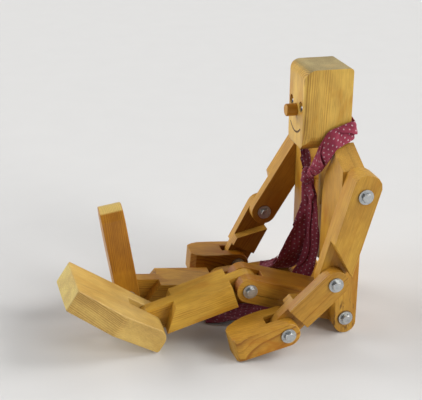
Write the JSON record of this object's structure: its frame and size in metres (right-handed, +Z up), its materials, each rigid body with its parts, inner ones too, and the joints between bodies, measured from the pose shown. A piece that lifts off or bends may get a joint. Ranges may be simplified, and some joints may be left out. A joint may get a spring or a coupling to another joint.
{
  "type": "artist mannequin",
  "caption": "Seated jointed wooden figure of square pine blocks on hex bolts, with a dowel nose, drilled eyes and a knotted dotted scarf.",
  "frame": {"origin": "on the floor, at the centre of the bounding box of the seated figure", "axes": "+Z up, the figure faces -Y with its feet forward, and its left side is +X"},
  "size_m": [0.2578, 0.3679, 0.3194],
  "materials": {
    "torso_left": "satin varnished pine",
    "torso_right": "satin varnished pine",
    "torso_core": "satin varnished pine",
    "neck_dowel": "satin varnished pine",
    "scarf_loop": "woven cotton, burgundy with small white dots",
    "scarf_knot": "woven cotton, burgundy with small white dots",
    "scarf_tail_long": "woven cotton, burgundy with small white dots",
    "scarf_tail_short": "woven cotton, burgundy with small white dots",
    "bolt_shoulder_left": "zinc-plated steel",
    "washer_shoulder_left": "zinc-plated steel",
    "bolt_hip_left": "zinc-plated steel",
    "washer_hip_left": "zinc-plated steel",
    "nut_hip_left": "zinc-plated steel",
    "bolt_shoulder_right": "zinc-plated steel",
    "washer_shoulder_right": "zinc-plated steel",
    "bolt_hip_right": "zinc-plated steel",
    "washer_hip_right": "zinc-plated steel",
    "nut_hip_right": "zinc-plated steel",
    "head": "satin varnished pine",
    "nose": "satin varnished pine",
    "eye_left": "white paint",
    "eye_right": "white paint",
    "pupil_left": "dark blue-black paint",
    "pupil_right": "dark blue-black paint",
    "upper_arm_left": "satin varnished pine",
    "forearm_left": "satin varnished pine",
    "bolt_elbow_left": "zinc-plated steel",
    "washer_elbow_left": "zinc-plated steel",
    "nut_elbow_left": "zinc-plated steel",
    "hand_left": "satin varnished pine",
    "bolt_wrist_left": "zinc-plated steel",
    "washer_wrist_left": "zinc-plated steel",
    "nut_wrist_left": "zinc-plated steel",
    "thigh_left": "satin varnished pine",
    "bolt_knee_left": "zinc-plated steel",
    "washer_knee_left": "zinc-plated steel",
    "nut_knee_left": "zinc-plated steel",
    "shin_left": "satin varnished pine",
    "foot_left": "satin varnished pine",
    "bolt_ankle_left": "zinc-plated steel",
    "washer_ankle_left": "zinc-plated steel",
    "upper_arm_right": "satin varnished pine",
    "forearm_right": "satin varnished pine",
    "bolt_elbow_right": "zinc-plated steel",
    "washer_elbow_right": "zinc-plated steel",
    "nut_elbow_right": "zinc-plated steel",
    "hand_right": "satin varnished pine",
    "bolt_wrist_right": "zinc-plated steel",
    "washer_wrist_right": "zinc-plated steel",
    "nut_wrist_right": "zinc-plated steel",
    "thigh_right": "satin varnished pine",
    "bolt_knee_right": "zinc-plated steel",
    "washer_knee_right": "zinc-plated steel",
    "nut_knee_right": "zinc-plated steel",
    "shin_right": "satin varnished pine",
    "foot_right": "satin varnished pine",
    "bolt_ankle_right": "zinc-plated steel",
    "washer_ankle_right": "zinc-plated steel"
  },
  "bodies": {
    "torso": {"torso_left": "torso_left", "torso_right": "torso_right", "torso_core": "torso_core", "neck_dowel": "neck_dowel", "scarf_loop": "scarf_loop", "scarf_knot": "scarf_knot", "scarf_tail_long": "scarf_tail_long", "scarf_tail_short": "scarf_tail_short", "bolt_shoulder_left": "bolt_shoulder_left", "washer_shoulder_left": "washer_shoulder_left", "bolt_hip_left": "bolt_hip_left", "washer_hip_left": "washer_hip_left", "nut_hip_left": "nut_hip_left", "bolt_shoulder_right": "bolt_shoulder_right", "washer_shoulder_right": "washer_shoulder_right", "bolt_hip_right": "bolt_hip_right", "washer_hip_right": "washer_hip_right", "nut_hip_right": "nut_hip_right"},
    "head": {"head": "head", "nose": "nose", "eye_left": "eye_left", "eye_right": "eye_right", "pupil_left": "pupil_left", "pupil_right": "pupil_right"},
    "upper_arm_left": {"upper_arm_left": "upper_arm_left"},
    "forearm_left": {"forearm_left": "forearm_left", "bolt_elbow_left": "bolt_elbow_left", "washer_elbow_left": "washer_elbow_left", "nut_elbow_left": "nut_elbow_left"},
    "hand_left": {"hand_left": "hand_left", "bolt_wrist_left": "bolt_wrist_left", "washer_wrist_left": "washer_wrist_left", "nut_wrist_left": "nut_wrist_left"},
    "thigh_left": {"thigh_left": "thigh_left", "bolt_knee_left": "bolt_knee_left", "washer_knee_left": "washer_knee_left", "nut_knee_left": "nut_knee_left"},
    "shin_left": {"shin_left": "shin_left"},
    "foot_left": {"foot_left": "foot_left", "bolt_ankle_left": "bolt_ankle_left", "washer_ankle_left": "washer_ankle_left"},
    "upper_arm_right": {"upper_arm_right": "upper_arm_right"},
    "forearm_right": {"forearm_right": "forearm_right", "bolt_elbow_right": "bolt_elbow_right", "washer_elbow_right": "washer_elbow_right", "nut_elbow_right": "nut_elbow_right"},
    "hand_right": {"hand_right": "hand_right", "bolt_wrist_right": "bolt_wrist_right", "washer_wrist_right": "washer_wrist_right", "nut_wrist_right": "nut_wrist_right"},
    "thigh_right": {"thigh_right": "thigh_right", "bolt_knee_right": "bolt_knee_right", "washer_knee_right": "washer_knee_right", "nut_knee_right": "nut_knee_right"},
    "shin_right": {"shin_right": "shin_right"},
    "foot_right": {"foot_right": "foot_right", "bolt_ankle_right": "bolt_ankle_right", "washer_ankle_right": "washer_ankle_right"}
  },
  "joints": [
    {"name": "neck_turn", "type": "hinge", "parent": "torso", "child": "head", "pos_m": [0, 0.1589, 0.23], "axis": [0, 0, 1], "range_deg": [-25, 25], "deforming": ["scarf_loop", "scarf_knot"]},
    {"name": "shoulder_left", "type": "hinge", "parent": "torso", "child": "upper_arm_left", "pos_m": [0, 0.1618, 0.1922], "axis": [-1, 0, 0], "range_deg": [-1.5, 140]},
    {"name": "elbow_left", "type": "hinge", "parent": "upper_arm_left", "child": "forearm_left", "pos_m": [0, 0.13184, 0.08418], "axis": [-1, 0, 0], "range_deg": [-34, 85]},
    {"name": "wrist_left", "type": "hinge", "parent": "forearm_left", "child": "hand_left", "pos_m": [0, 0.07306, 0.02917], "axis": [-1, 0, 0], "range_deg": [-85, 60]},
    {"name": "hip_left", "type": "hinge", "parent": "torso", "child": "thigh_left", "pos_m": [0, 0.1584, 0.0207], "axis": [-1, 0, 0], "range_deg": [-60, 30], "deforming": ["scarf_tail_long"]},
    {"name": "knee_left", "type": "hinge", "parent": "thigh_left", "child": "shin_left", "pos_m": [0, 0.04238, 0.06065], "axis": [-1, 0, 0], "range_deg": [-58, 34]},
    {"name": "ankle_left", "type": "hinge", "parent": "shin_left", "child": "foot_left", "pos_m": [0, -0.08335, 0.02388], "axis": [-1, 0, 0], "range_deg": [-48, 45]},
    {"name": "shoulder_right", "type": "hinge", "parent": "torso", "child": "upper_arm_right", "pos_m": [0, 0.1618, 0.1922], "axis": [-1, 0, 0], "range_deg": [-10, 130]},
    {"name": "elbow_right", "type": "hinge", "parent": "upper_arm_right", "child": "forearm_right", "pos_m": [0, 0.10289, 0.09682], "axis": [-1, 0, 0], "range_deg": [-20, 115]},
    {"name": "wrist_right", "type": "hinge", "parent": "forearm_right", "child": "hand_right", "pos_m": [0, 0.0651, 0.02575], "axis": [-1, 0, 0], "range_deg": [-95, 32]},
    {"name": "hip_right", "type": "hinge", "parent": "torso", "child": "thigh_right", "pos_m": [0, 0.1584, 0.0207], "axis": [-1, 0, 0], "range_deg": [-30, 48], "deforming": ["scarf_tail_short"]},
    {"name": "knee_right", "type": "hinge", "parent": "thigh_right", "child": "shin_right", "pos_m": [0, 0.03579, 0.01599], "axis": [-1, 0, 0], "range_deg": [-75, 5]},
    {"name": "ankle_right", "type": "hinge", "parent": "shin_right", "child": "foot_right", "pos_m": [0, -0.09454, 0.02923], "axis": [-1, 0, 0], "range_deg": [-70, 19]}
  ]
}
